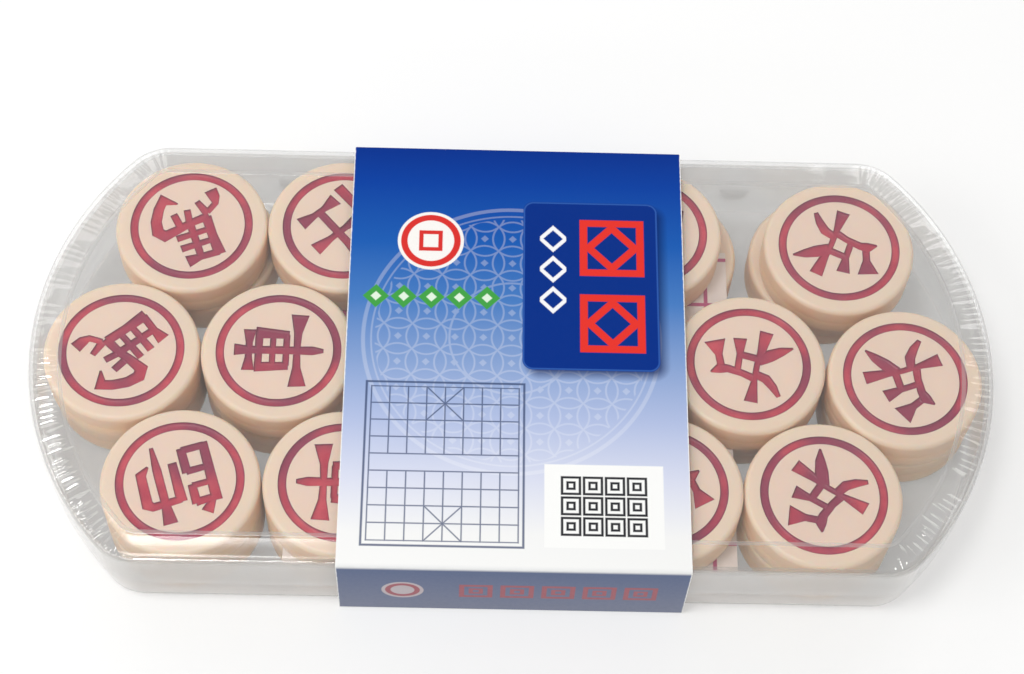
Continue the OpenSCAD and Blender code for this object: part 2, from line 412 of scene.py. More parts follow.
# Game pieces: compression-moulded melamine discs, ivory all through.
# Ring and sign are engraved in one face and filled with red or blue-black paint.
# Each sign is a list of strokes, each stroke a list of (x, y, width) in millimetres.
CANNON_RIGHT = [
    [(2.4, 9.6, 2.6), (0.8, 5.6, 1.6), (-1.4, 2.6, 0.6)],
    [(1.0, 5.7, 1.5), (7.2, 5.9, 1.7), (8.4, 5.0, 2.0), (7.9, -1.6, 1.8), (5.9, -2.8, 0.5)],
    [(1.0, 2.6, 1.4), (5.1, 2.6, 1.6)],
    [(4.9, 2.8, 1.6), (4.9, -1.4, 1.5)],
    [(1.0, -1.0, 1.3), (4.9, -1.0, 1.3)],
    [(1.2, 3.0, 1.7), (1.2, -5.8, 1.7), (2.4, -7.6, 1.9), (7.0, -7.6, 1.9), (8.8, -4.8, 0.5)],
]
SIGNS = {
    "red_soldier": [
        [(-3.5, -2.1, 1.7), (-2.8, 1.0, 1.5), (-2.5, 4.4, 1.7), (-2.9, 6.4, 2.2), (-4.4, 8.2, 0.4)],
        [(-2.0, 6.2, 1.5), (0.6, 7.3, 1.5), (4.0, 9.0, 4.2)],
        [(-2.4, 2.2, 1.3), (2.0, 2.5, 1.3), (6.1, 3.3, 2.7)],
        [(1.9, 2.6, 1.5), (1.8, -2.2, 1.6)],
        [(-9.7, -2.5, 2.7), (-4.0, -2.2, 1.2), (0.0, -2.0, 1.2), (3.6, -2.3, 1.6), (9.3, -2.5, 2.7)],
        [(-2.2, -2.0, 1.7), (-2.9, -4.8, 2.0), (-4.6, -6.8, 1.7), (-6.7, -8.6, 0.9)],
        [(1.4, -2.0, 2.4), (3.4, -4.6, 2.6), (5.2, -7.0, 1.9), (6.7, -9.4, 0.4)],
    ],
    "horse": [
        [(-4.0, 9.5, 2.4), (-3.8, 4.0, 1.9), (-3.9, -1.2, 2.0)],
        [(-4.0, 8.8, 1.6), (0.4, 8.7, 1.5), (3.7, 9.0, 2.7)],
        [(-3.8, 5.2, 1.3), (4.1, 5.3, 1.6)],
        [(-3.8, 2.2, 1.3), (4.3, 2.4, 1.5)],
        [(0.3, 8.8, 1.5), (0.2, -0.7, 1.6)],
        [(-4.6, -1.2, 1.9), (0.0, -0.7, 1.7), (3.2, 0.1, 1.9), (6.6, 0.8, 2.3), (7.9, -0.8, 2.4),
         (7.5, -3.6, 2.2), (6.0, -6.6, 2.1), (4.2, -8.8, 2.0), (1.4, -6.6, 0.4)],
        [(-4.4, -2.2, 1.3), (-6.9, -3.9, 1.3), (-7.2, -5.6, 2.2), (-6.9, -7.8, 2.6)],
        [(-4.4, -1.8, 1.8), (-3.0, -5.8, 1.2)],
        [(0.2, -1.2, 1.5), (-0.2, -4.4, 1.4)],
        [(2.6, -0.6, 1.6), (3.1, -4.2, 1.5)],
    ],
    "chariot": [
        [(0.0, 10.5, 2.5), (0.0, 7.0, 1.7), (0.0, -4.0, 1.7), (0.0, -8.0, 1.9), (0.0, -10.6, 0.9)],
        [(-5.4, 7.0, 2.5), (-2.0, 7.0, 1.4), (2.0, 7.0, 1.4), (5.4, 7.0, 2.5)],
        [(-4.5, 5.6, 2.1), (-4.1, -2.4, 1.7)],
        [(4.6, 5.6, 2.5), (4.1, -2.4, 1.7)],
        [(-4.4, 4.7, 1.4), (4.4, 4.7, 1.6)],
        [(-4.2, 1.4, 1.2), (4.2, 1.4, 1.2)],
        [(-4.1, -1.8, 1.3), (4.1, -1.8, 1.3)],
        [(-9.5, -4.7, 3.5), (-4.5, -4.4, 1.6), (0.0, -4.3, 1.3), (4.5, -4.4, 1.6), (9.5, -4.7, 3.5)],
    ],
    "red_general": [
        [(-4.2, 9.2, 2.4), (-6.2, 6.4, 1.3)],
        [(-7.0, 7.0, 2.1), (-7.2, -8.0, 1.8)],
        [(-7.0, 6.0, 1.4), (-2.2, 6.2, 1.7)],
        [(-2.4, 6.6, 1.8), (-2.4, 1.6, 1.6)],
        [(-7.0, 2.0, 1.3), (-2.4, 2.0, 1.3)],
        [(-7.0, -1.8, 1.3), (-1.9, -1.8, 1.5)],
        [(-2.0, -1.4, 1.8), (-2.0, -7.8, 1.7)],
        [(-7.2, -7.2, 1.5), (-2.0, -7.2, 1.5)],
        [(0.7, 5.2, 2.1), (0.7, -4.8, 1.7)],
        [(0.6, 4.5, 1.5), (7.2, 4.7, 1.7), (8.4, 3.8, 2.1), (8.2, -3.8, 1.9), (6.2, -5.4, 0.5)],
        [(4.4, 9.8, 2.8), (4.4, 5.0, 1.7), (4.4, -4.0, 1.7), (4.4, -9.8, 0.8)],
    ],
    "red_advisor": [
        [(-4.2, 9.4, 2.8), (-5.8, 4.6, 1.8), (-9.0, 0.4, 0.6)],
        [(-5.8, 5.0, 1.8), (-5.8, -9.2, 2.2)],
        [(-3.8, 0.7, 2.6), (0.0, 0.7, 1.4), (4.6, 0.8, 1.4), (9.4, 0.8, 2.9)],
        [(2.3, 9.2, 2.5), (2.2, 4.0, 1.7), (2.1, -6.6, 1.7)],
        [(-3.2, -6.9, 3.0), (0.6, -6.6, 1.4), (3.6, -6.6, 1.4), (7.6, -6.9, 3.0)],
    ],
    "red_elephant": [
        [(-9.4, 4.2, 2.6), (-5.0, 4.2, 1.4), (-0.8, 4.4, 2.2)],
        [(-5.0, 9.4, 2.6), (-5.0, 4.0, 1.7), (-5.0, -9.4, 1.9)],
        [(-5.2, 3.4, 1.5), (-7.0, -0.4, 1.7), (-9.4, -3.0, 0.5)],
        [(-4.8, 2.6, 1.3), (-1.6, -1.2, 2.2)],
        [(1.2, 8.0, 2.1), (1.2, -8.4, 1.8)],
        [(7.4, 8.2, 2.4), (7.4, -8.6, 1.9)],
        [(1.2, 7.2, 1.5), (7.4, 7.2, 1.7)],
        [(1.2, 2.3, 1.2), (7.4, 2.3, 1.2)],
        [(1.2, -2.5, 1.2), (7.4, -2.5, 1.2)],
        [(1.2, -7.2, 1.5), (7.4, -7.2, 1.5)],
    ],
    "red_cannon": CANNON_RIGHT + [
        [(-9.0, 5.0, 1.2), (-7.6, 1.6, 2.1)],
        [(-1.8, 6.2, 2.2), (-3.6, 2.2, 1.2)],
        [(-5.4, 9.2, 2.6), (-5.4, 1.0, 1.7), (-6.4, -3.8, 1.8), (-9.2, -8.0, 0.6)],
        [(-5.4, -1.0, 1.4), (-2.4, -6.4, 2.4)],
    ],
    "black_general": [
        [(-4.2, 9.4, 2.4), (-4.2, -9.4, 1.7)],
        [(-7.6, 7.8, 2.0), (-7.6, 1.4, 1.6)],
        [(-7.6, 2.0, 1.3), (-4.2, 2.0, 1.3)],
        [(-9.2, -2.2, 2.0), (-4.2, -1.9, 1.3)],
        [(-7.2, -2.0, 1.4), (-8.8, -7.4, 0.6)],
        [(2.8, 9.6, 2.4), (1.0, 6.4, 1.5), (-1.6, 4.0, 0.5)],
        [(1.4, 7.4, 1.3), (6.8, 7.6, 1.9), (4.2, 3.2, 1.6), (-1.0, 0.4, 0.6)],
        [(1.8, 5.6, 1.1), (3.6, 3.6, 1.5)],
        [(-2.4, -1.5, 2.4), (1.0, -1.3, 1.3), (8.8, -1.2, 2.6)],
        [(5.4, 1.6, 2.3), (5.4, -7.0, 1.8), (4.6, -8.8, 1.8), (2.4, -7.0, 0.5)],
        [(0.2, -3.2, 1.2), (2.0, -6.0, 2.0)],
    ],
    "black_advisor": [
        [(-9.4, 1.6, 3.2), (-3.0, 1.9, 1.5), (3.0, 1.9, 1.5), (9.4, 1.6, 3.2)],
        [(0.0, 9.8, 2.8), (0.0, 4.0, 1.8), (0.0, -6.8, 1.8)],
        [(-6.2, -7.2, 3.0), (-2.0, -6.9, 1.4), (2.0, -6.9, 1.4), (6.2, -7.2, 3.0)],
    ],
    "black_elephant": [
        [(-0.6, 9.8, 2.3), (-3.0, 6.8, 1.4), (-6.2, 5.0, 0.5)],
        [(-1.8, 7.6, 1.3), (3.8, 7.8, 1.8), (2.0, 5.0, 1.2)],
        [(-5.4, 5.4, 1.8), (-5.0, 1.6, 1.5)],
        [(5.4, 5.6, 2.1), (5.0, 1.6, 1.5)],
        [(-5.4, 4.9, 1.3), (5.4, 4.9, 1.5)],
        [(0.0, 5.0, 1.2), (0.0, 2.0, 1.2)],
        [(-5.2, 2.0, 1.3), (5.2, 2.0, 1.3)],
        [(0.4, 1.8, 1.4), (-3.2, -1.4, 1.3), (-8.2, -3.0, 0.5)],
        [(-1.6, -0.4, 1.2), (1.2, -3.0, 1.7), (1.8, -7.0, 1.9), (0.8, -9.2, 1.6), (-1.2, -8.0, 0.5)],
        [(0.4, -2.6, 1.2), (-6.8, -6.0, 0.6)],
        [(1.2, -4.8, 1.2), (-5.6, -9.0, 0.6)],
        [(6.8, 0.4, 2.0), (2.8, -2.2, 1.0)],
        [(2.0, -2.2, 1.2), (4.8, -5.4, 1.8), (8.6, -7.4, 2.6)],
    ],
    "black_cannon": CANNON_RIGHT + [
        [(-9.2, 7.0, 2.5), (-5.6, 7.2, 1.4), (-1.6, 7.4, 2.1)],
        [(-5.4, 7.2, 1.5), (-6.8, 2.4, 1.7), (-9.6, -1.8, 0.5)],
        [(-6.6, 0.6, 1.9), (-6.4, -6.8, 1.6)],
        [(-2.2, 0.8, 2.0), (-2.5, -6.8, 1.6)],
        [(-6.6, 0.0, 1.3), (-2.2, 0.2, 1.4)],
        [(-6.4, -5.8, 1.4), (-2.5, -5.8, 1.4)],
    ],
    "black_soldier": [
        [(-0.4, 9.9, 2.4), (0.4, 6.6, 1.3)],
        [(-7.8, 5.9, 2.6), (-3.0, 6.1, 1.4), (3.0, 6.2, 1.4), (7.8, 6.2, 2.7)],
        [(-2.8, 5.8, 1.5), (-4.4, 2.0, 1.6), (-7.0, -0.6, 0.5)],
        [(-3.8, 3.2, 1.2), (-1.2, 0.6, 1.9)],
        [(3.0, 5.8, 1.5), (2.2, 2.6, 1.4), (0.4, 0.2, 0.5)],
        [(2.8, 3.4, 1.2), (6.8, -0.4, 2.3)],
        [(-9.4, -3.7, 3.0), (-3.0, -3.4, 1.4), (3.0, -3.4, 1.4), (9.4, -3.7, 3.0)],
        [(0.0, 1.0, 1.5), (0.0, -4.0, 1.7), (0.0, -10.2, 1.2)],
    ],
}
RING_OUT, RING_W, RING_DEPTH = 14.1, 1.9, 0.5
RING_IN = RING_OUT - RING_W
CAP_R = RING_IN - 1.2
SIGN_DEPTH = 0.55
SIGN_WEIGHT = 1.18
# The engraving is round-bottomed: how far it is drawn in at each share of its depth.
CUT_LEVELS = ((-0.3, -0.07), (0.0, 0.0), (0.45, 0.1), (0.8, 0.26), (1.0, 0.5))
RING_CUT = ((0, 0), (0.05, 0.42), (0.14, 0.74), (0.3, 0.94), (0.5, 1),
            (0.7, 0.94), (0.86, 0.74), (0.95, 0.42), (1, 0))
PIECE_EDGE = 1.2
PIECE_STEPS = 96
SIGN_REACH = RING_IN - 1.0


def stroke_outline(stroke, grow):
    """The plan of one engraved stroke, wider by grow on every side."""
    flat = [Vector((x, y)) for x, y, w in stroke]
    ahead = [(b - a).normalized() for a, b in zip(flat, flat[1:])]
    left, right = [], []
    for i, (x, y, w) in enumerate(stroke):
        before, after = ahead[max(i - 1, 0)], ahead[min(i, len(ahead) - 1)]
        along = (before + after).normalized()
        side = Vector((-along.y, along.x))
        reach = max(w / 2 + grow, 0.08) / max(along.dot(after), 0.6)
        middle = flat[i]
        if i == 0:
            middle = middle - along * grow
        if i == len(stroke) - 1:
            middle = middle + along * grow
        left.append(middle + side * reach)
        right.append(middle - side * reach)
    return left + right[::-1]


def sign_cutter(name, strokes, face_z):
    """One closed cutter per stroke, wide above the face and drawn in towards the bottom of the sign."""
    far = max(Vector((x, y)).length + w / 3 for s in strokes for x, y, w in s)
    fit = min(1.0, SIGN_REACH / far)
    cutter = bmesh.new()
    for stroke in strokes:
        stroke = [(x * fit, y * fit, w * SIGN_WEIGHT) for x, y, w in stroke]
        rings = []
        for share, draw_in in CUT_LEVELS:
            z = face_z - share * SIGN_DEPTH * MM
            plan = stroke_outline(stroke, -draw_in)
            rings.append([cutter.verts.new((p.x * MM, p.y * MM, z)) for p in plan])
        closed_rings(cutter, rings)
    return bpy.data.objects.new(name, as_mesh(cutter, name))


def disc_profile(name, radius, height):
    """Half the section of a disc, from its face's ring to its back, as a line of edges."""
    e = PIECE_EDGE
    turns = [math.radians(90 * i / 8) for i in range(9)]
    points = [(CAP_R, height)]
    points += [(RING_IN + RING_W * across, height - RING_DEPTH * down) for across, down in RING_CUT]
    points += [(radius - e + e * math.sin(a), height - e + e * math.cos(a)) for a in turns]
    # A faint parting line runs round the side, where the two halves of the mould met.
    points += [(radius, height / 2 + 0.18), (radius, height / 2 + 0.09), (radius - 0.04, height / 2),
               (radius, height / 2 - 0.09)]
    points += [(radius - e + e * math.cos(a), e - e * math.sin(a)) for a in turns]
    points += [(CAP_R, 0)]
    mesh = bpy.data.meshes.new(name)
    edges = [(i, i + 1) for i in range(len(points) - 1)]
    mesh.from_pydata([((r - RING_IN) * MM, -z * MM, 0) for r, z in points], edges, [])
    return bpy.data.objects.new(name, mesh)


def node_tree(name, *inputs):
    """A Geometry Nodes tree with named inputs: the tree, their identifiers and their wires."""
    tree = bpy.data.node_groups.new(name, "GeometryNodeTree")
    ids = {}
    for label, kind in inputs:
        socket = tree.interface.new_socket(label, in_out="INPUT", socket_type="NodeSocket" + kind)
        ids[label] = socket.identifier
    tree.interface.new_socket("Geometry", in_out="OUTPUT", socket_type="NodeSocketGeometry")
    return tree, ids, outputs(add(tree, "NodeGroupInput"))


def run_tree(mesh, tree, ids, values, wall=0.0):
    """The mesh that a Geometry Nodes tree makes of another, given a wall inwards if it is a skin."""
    blank = bpy.data.objects.new(mesh.name, mesh)
    scene.collection.objects.link(blank)
    modifier = blank.modifiers.new(tree.name, "NODES")
    modifier.node_group = tree
    for label, value in values.items():
        modifier[ids[label]] = value
    if wall:
        skin = blank.modifiers.new("wall", "SOLIDIFY")
        skin.thickness = wall
        skin.offset = -1.0
    made = bpy.data.meshes.new_from_object(blank.evaluated_get(bpy.context.evaluated_depsgraph_get()))
    bpy.data.objects.remove(blank)
    return made


def engraved_disc_tree():
    """Geometry Nodes: a section swept round a circle, closed with two flat caps, engraved and painted."""
    tree, ids, given = node_tree(
        "engraved_disc", ("Section", "Object"), ("Sign", "Object"), ("Steps", "Int"),
        ("Sweep Radius", "Float"), ("Cap Radius", "Float"), ("Height", "Float"),
        ("Paint Radius", "Float"), ("Cut Depth", "Float"), ("Melamine", "Material"), ("Paint", "Material"))
    section = add(tree, "GeometryNodeObjectInfo", given["Section"], out="Geometry")
    section = add(tree, "GeometryNodeMeshToCurve", section)
    circle = add(tree, "GeometryNodeCurvePrimitiveCircle", into={
        "Resolution": given["Steps"], "Radius": given["Sweep Radius"]})
    wall = add(tree, "GeometryNodeCurveToMesh", circle, section)
    cap = add(tree, "GeometryNodeMeshCircle", into={
        "Vertices": given["Steps"], "Radius": given["Cap Radius"]}, fill_type="NGON")
    lift = add(tree, "ShaderNodeCombineXYZ", 0.0, 0.0, given["Height"])
    face = add(tree, "GeometryNodeTransform", cap, into={"Translation": lift})
    back = add(tree, "GeometryNodeFlipFaces", cap)
    joined = add(tree, "GeometryNodeJoinGeometry", [wall, face, back])
    disc = add(tree, "GeometryNodeMergeByDistance", joined, into={"Distance": 0.004 * MM})
    sign = add(tree, "GeometryNodeObjectInfo", given["Sign"], out="Geometry")
    shape = add(tree, "GeometryNodeMeshBoolean", disc, into={"Mesh 2": sign, "Self Intersection": True},
                operation="DIFFERENCE", solver="EXACT")
    spot = outputs(add(tree, "ShaderNodeSeparateXYZ", add(tree, "GeometryNodeInputPosition")))
    depth = given["Height"] - spot["Z"]
    level = add(tree, "ShaderNodeCombineXYZ", spot["X"], spot["Y"], 0.0)
    reach = add(tree, "ShaderNodeVectorMath", level, operation="LENGTH", out="Value")
    from_face = depth.math("MINIMUM", given["Height"] - depth)
    for label, value in (
        ("engraved", depth.math("DIVIDE", given["Cut Depth"], use_clamp=True)),
        ("middle", (reach < given["Sweep Radius"] + 0.05 * MM) * (depth < 0.01 * MM)),
        # The side wall away from both faces is marked here so the melamine can colour it warmer and deeper
        # as painted shade.
        ("flank", from_face.span(0.2 * MM, 1.8 * MM, 0.0, 1.0)),
    ):
        shape = add(tree, "GeometryNodeStoreNamedAttribute", shape, into={"Name": label, "Value": value},
                    data_type="FLOAT", domain="POINT")
    soft = add(tree, "GeometryNodeInputMeshEdgeAngle") < math.radians(32)
    shaded = add(tree, "GeometryNodeSetShadeSmooth", shape, into={"Shade Smooth": soft}, domain="EDGE")
    painted = (reach < given["Paint Radius"]) * (depth > 0.01 * MM) * (depth < 2 * MM)
    real = add(tree, "GeometryNodeRealizeInstances", shaded)
    ivory = add(tree, "GeometryNodeSetMaterial", real, into={"Material": given["Melamine"]})
    add(tree, "NodeGroupOutput", add(tree, "GeometryNodeSetMaterial", ivory, into={
        "Selection": painted, "Material": given["Paint"]}))
    return tree, ids


# Melamine, moulded and tumbled: warm ivory with faint clouds, a low sheen and fine scratches.
melamine, tree = new_material("moulded_melamine")
where = add(tree, "ShaderNodeTexCoord", out="Object")
speck = noise(tree, where, 0.7, 2.0)
tone = blend(tree, noise(tree, where, 9, 3.0), "#f2dac3", "#efdbc4")
# The middle of the face gets a pinker tone; the side walls get a warmer, deeper tone as painted shade.
for label, code in (("middle", "#f1d8c5"), ("flank", "#f0cdaa")):
    tone = blend(tree, add(tree, "ShaderNodeAttribute", attribute_name=label, out="Fac"), tone, code)
tone = blend(tree, speck.span(0.66, 0.80, 0.0, 0.10), tone, "#c9a888")
rough = speck.span(0.3, 0.7, 0.32, 0.46)
add(tree, "ShaderNodeOutputMaterial", solid(tree, tone, rough, 1.57, bump(tree, speck, 0.1, 0.02), {
    "Subsurface Weight": 0.5, "Subsurface Radius": (1.0, 0.5, 0.25), "Subsurface Scale": 2.5 * MM}))

# Enamel paint wiped into the engraving and pooled below, thin in patches. Its sloped walls near the face are
# darkened as painted shade, and its pale patches are partly the paint's own variation, partly a painted
# gloss highlight.
paints = {}
for side, wall_shade_tone, thin_tone, pool_tone, pale_and_sheen_tone in (
    ("red", "#7c1846", "#941848", "#ba1a41", "#d13f52"),
    ("black", "#10182e", "#172240", "#1d2a48", "#33456a"),
):
    paints[side], tree = new_material(side + "_engraving_enamel")
    where = add(tree, "ShaderNodeTexCoord", out="Object")
    deep = add(tree, "ShaderNodeAttribute", attribute_name="engraved", out="Fac")
    pool = noise(tree, where, 5, 2.0).span(0.40, 0.66, 0.0, 1.0)
    thick = noise(tree, where, 13, 1.0).span(0.38, 0.58, 0.0, 1.0)
    # Pale patches: partly the paint's own variation, partly a painted gloss highlight.
    tone = blend(tree, thick, thin_tone, blend(tree, pool, pool_tone, pale_and_sheen_tone))
    # Darker towards the face on the engraving's walls: painted shade.
    tone = blend(tree, deep.span(0.25, 0.95, 0.0, 1.0), wall_shade_tone, tone)
    add(tree, "ShaderNodeOutputMaterial", solid(tree, tone, 0.36, 1.42, bump(tree, pool, 0.25, 0.08)))

# How far each piece that shows is turned, in degrees; the hidden ones lie as they fell.
TURNS = {
    "red_horse_1": -50, "red_chariot_1": 90, "red_soldier_1": 76, "red_soldier_2": -164,
    "red_horse_2": 201, "red_advisor_1": -138, "red_soldier_3": -114, "red_general": 198,
    "red_chariot_2": -90, "red_soldier_4": -88, "red_soldier_5": -214,
}
disc_tree, disc_in = engraved_disc_tree()
low, high = (Vector(c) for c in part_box("red_general"))
piece_h = high.z - low.z
section = disc_profile("disc_section", (high.x - low.x) / 2 / MM, piece_h / MM)
piece_nodes = sorted(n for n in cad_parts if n.startswith(("red_", "black_")))
discs = {}
for order, node in enumerate(piece_nodes):
    side, rank = node.split("_")[:2]
    sign = rank if rank in ("horse", "chariot") else side + "_" + rank
    if (side, sign) not in discs:
        cutter = sign_cutter("sign_" + sign, SIGNS[sign], piece_h)
        discs[side, sign] = run_tree(bpy.data.meshes.new("disc"), disc_tree, disc_in, {
            "Section": section, "Sign": cutter, "Steps": PIECE_STEPS, "Sweep Radius": RING_IN * MM,
            "Cap Radius": CAP_R * MM, "Height": piece_h, "Paint Radius": (RING_OUT + 0.2) * MM,
            "Cut Depth": RING_DEPTH * MM, "Melamine": melamine, "Paint": paints[side]})
        bpy.data.objects.remove(cutter)
    low, high = (Vector(c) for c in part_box(node))
    mesh = discs[side, sign].copy()
    mesh.name = node + "_disc"
    turn = Matrix.Rotation(math.radians(TURNS.get(node, (137 * order) % 360)), 4, "Z")
    if side == "black":
        turn = Matrix.Translation((0, 0, piece_h)) @ Matrix.Rotation(math.pi, 4, "X") @ turn
    middle = (low + high) / 2
    mesh.transform(Matrix.Translation((middle.x, middle.y, low.z)) @ turn)
    place_piece(node + "_disc", mesh, "boxed_set", [node])
bpy.data.objects.remove(section)

# Playing sheet: thin coated paper, folded in four and laid between the layers, printed in magenta.
GRID_PITCH = 12.0
coated_paper, tree = new_material("coated_board_paper")
where = add(tree, "ShaderNodeTexCoord", out="Object")
flat = outputs(add(tree, "ShaderNodeSeparateXYZ", where))
lines = []
for axis, shift in (("X", 3.0), ("Y", 5.0)):
    cell = flat[axis].math("MULTIPLY_ADD", 1 / (GRID_PITCH * MM), shift / GRID_PITCH)
    lines.append(abs(cell.math("FLOORED_MODULO", 1.0) - 0.5).span(0.455, 0.47, 0.0, 1.0))
fibre = noise(tree, where, 0.8, 3.0)
sheet = blend(tree, most(*lines), blend(tree, fibre, "#efe4de", "#f7efe9"), "#c2437c")
add(tree, "ShaderNodeOutputMaterial", solid(tree, sheet, 0.42, 1.48, bump(tree, fibre, 0.1, 0.02)))
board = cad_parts["folded_board"]
board.data.materials.clear()
board.data.materials.append(coated_paper)

# Lid: a skirt over the tray's wall, a flat rim that rests on it and a border that rises to a raised panel,
# moulded in one piece with a thin bead round the panel.
LID_WALL, LID_T = 0.9, 0.8
PANEL_INSET, PANEL_RISE = 6.9, 0.5
panel_z, skirt_z = lid_high.z, lid_low.z
rim_z = panel_z - PANEL_RISE
EDGE_R = 0.8
BEAD = 0.14
outer = [(0.12, skirt_z), (0.0, skirt_z + 0.12)]
outer += quarter(EDGE_R, rim_z - EDGE_R, EDGE_R, 180, 90, 8)
outer += [(1.75, rim_z), (1.9, rim_z + 0.07), (2.1, rim_z + 0.1), (PANEL_INSET - 0.9, panel_z - 0.3)]
outer += [(PANEL_INSET + 0.6 * math.cos(a), panel_z - BEAD + BEAD * math.sin(a))
          for a in (math.radians(180 - 180 * i / 8) for i in range(9))]
outer += [(PANEL_INSET + 0.9, panel_z - BEAD)]
inner = [(LID_WALL - 0.12, skirt_z), (LID_WALL, skirt_z + 0.12), (LID_WALL, rim_z - LID_T),
         (1.9, rim_z - LID_T), (2.1, rim_z - LID_T), (PANEL_INSET - 0.4, panel_z - LID_T - 0.15),
         (PANEL_INSET, panel_z - LID_T), (PANEL_INSET + 0.2, panel_z - LID_T)]
lid = case_shell("case_cover", outer, inner, CASE_STEPS)
smooth_by_angle(lid, 38)
# The bead is thicker than the panel and the skirt doubles the tray's wall, so both are milky.
BEAD_MILK, SKIRT_MILK = 0.38, 0.5
ring_size = len(lid.vertices) // (len(outer) + len(inner))
milky = [BEAD_MILK if abs(i - PANEL_INSET) < 0.55 else SKIRT_MILK if i < 0.4 else 0.0 for i, z in outer]
milky += [0.0] * len(inner)
lid.attributes.new("moulded_edge", "FLOAT", "POINT").data.foreach_set(
    "value", [m for m in milky for i in range(ring_size)])
lid.materials.append(plastics["clear_polypropylene"])
place_piece("case_cover", lid, "boxed_set", ["case_lid"])

# Film: thin shrink wrap drawn tight round the closed case.
# It is gathered at the rim into short rays and a few folds.
FILM_OUT, FILM_T = 0.05, 0.04
FILM_STEPS = (360, 32, 120)
FILM_CEILING = panel_z + 0.13
bottom_z, top_z = base_low.z - FILM_OUT, panel_z + FILM_OUT
levels = [(5.0, bottom_z), (2.6, bottom_z), (1.6, bottom_z + 0.3), (1.1, bottom_z + 0.9)]
levels += [(0.9, bottom_z + 2.5), (0.57, 5.6), (0.25, 8.4)]
levels += [(-FILM_OUT, z) for z in (skirt_z, 14.5, 17.5, 20.0, 21.6, rim_z - EDGE_R)]
levels += [(0.2, rim_z - 0.2), (0.6, rim_z + FILM_OUT)]
border = (1.0, 1.4, 1.8, 2.2, 2.6, 3.0, 3.5, 4.0, 4.5, 5.1, 5.8, 6.5)
levels += [(i, rim_z + FILM_OUT + PANEL_RISE * (i - 0.6) / (PANEL_INSET - 0.6)) for i in border]
levels += [(PANEL_INSET + 0.2, top_z), (8.4, top_z)]
plan = case_plan(0.0, *FILM_STEPS)
count = len(plan)
run = [0.0]
for (x0, y0), (x1, y1) in zip(plan, plan[1:]):
    run.append(run[-1] + math.hypot(x1 - x0, y1 - y0))
# The film gathers at the ends, and more towards the front than at the back.
bend = [min(1.0, max(0.45, (abs(x) - CORNER_X + 14) / 22)) for x, y in plan]
bend = [b * (1 - 0.5 * min(1.0, max(0.0, (y + 5) / 30))) for b, (x, y) in zip(bend, plan)]
points, faces, along, inward, gather = [], [], [], [], []
for inset, z in levels:
    points += [(x * MM, y * MM, z * MM) for x, y in case_plan(inset, *FILM_STEPS)]
    along += [r * MM for r in run]
    inward += [(inset if z > rim_z else z - rim_z) * MM] * count
    gather += bend
for a in range(0, count * (len(levels) - 1), count):
    b = a + count
    faces += [(a + i, a + (i + 1) % count, b + (i + 1) % count, b + i) for i in range(count)]
faces += [tuple(range(count))[::-1], tuple(range(count * (len(levels) - 1), count * len(levels)))]
film = bpy.data.meshes.new("film")
film.from_pydata(points, [], faces)
for label, values in (("along", along), ("inward", inward), ("gather", gather)):
    film.attributes.new(label, "FLOAT", "POINT").data.foreach_set("value", values)

# Polyolefin film: colourless, with a hard mirror gloss that sparkles on every pucker.
shrink_film, tree = new_material("polyolefin_shrink_film")
where = add(tree, "ShaderNodeTexCoord", out="Object")
facing = add(tree, "ShaderNodeLayerWeight", into={"Blend": 0.5}, out="Facing")
relief = bump(tree, noise(tree, where, 6, 2.0), 0.2, 0.1)
body = solid(tree, linear("#eef0f2"), 0.2, 1.5, relief, {"Alpha": facing.span(0.1, 0.9, 0.015, 0.12)})
finish_clear(tree, body, facing, relief, 0.10, 0.065)

tree, film_in, given = node_tree(
    "film_puckers", ("Film", "Geometry"), ("Ray Spacing", "Float"), ("Ray Height", "Float"),
    ("Fold Spacing", "Float"), ("Fold Height", "Float"), ("Wall Height", "Float"), ("Ceiling", "Float"),
    ("Seed", "Float"), ("Film Material", "Material"))
run_at, in_at, bunch = (
    add(tree, "GeometryNodeInputNamedAttribute", label, data_type="FLOAT")
    for label in ("along", "inward", "gather"))


def rim_noise(size, shift):
    """Noise that changes along the rim only, over a length in millimetres."""
    spot = add(tree, "ShaderNodeCombineXYZ", run_at / (size * MM), shift, given["Seed"])
    return add(tree, "ShaderNodeTexNoise", into={"Vector": spot, "Scale": 1.0, "Detail": 1.0})


def rim_comb(spacing, stray, sharp):
    """Ridges across the rim at about one spacing, led astray by a noise."""
    turn = (run_at / given[spacing] + stray) * math.pi
    return abs(turn.math("SINE")).math("POWER", sharp)


def crown(where, rise, fall):
    """One between the end of a rise and the start of a fall, both given inward from the rim."""
    up, down = (
        where.span(ends[0] * MM, ends[1] * MM, first, 1.0 - first, interpolation_type="SMOOTHSTEP")
        for ends, first in ((rise, 0.0), (fall, 1.0)))
    return up * down


rays = rim_comb("Ray Spacing", rim_noise(6, 0.0) * 1.6, 2.0) * rim_noise(8, 5.0).span(0.36, 0.58, 0.25, 1.0)
folds = rim_comb("Fold Spacing", rim_noise(11, 17.0) * 2.0, 12.0)
ragged = (rim_noise(2, 11.0) - 0.5).math("MULTIPLY_ADD", 3 * MM, in_at)
ray = rays * crown(ragged, (0.3, 1.6), (3.8, 5.8)) * given["Ray Height"]
fold = folds * crown(in_at, (1.0, 3.0), (4.5, 8.2)) * given["Fold Height"]
side = rays * in_at.span(-9 * MM, -0.5 * MM, 0.2, 1.0) * given["Wall Height"]
height = add(tree, "ShaderNodeSeparateXYZ", add(tree, "GeometryNodeInputPosition"), out="Z")
lift = (most(ray, fold, side) * bunch).math("MINIMUM", given["Ceiling"] - height)
out_way = add(tree, "GeometryNodeInputNormal")
push = add(tree, "ShaderNodeVectorMath", out_way, into={"Scale": lift}, operation="SCALE", out="Vector")
moved = add(tree, "GeometryNodeSetPosition", given["Film"], into={"Offset": push})
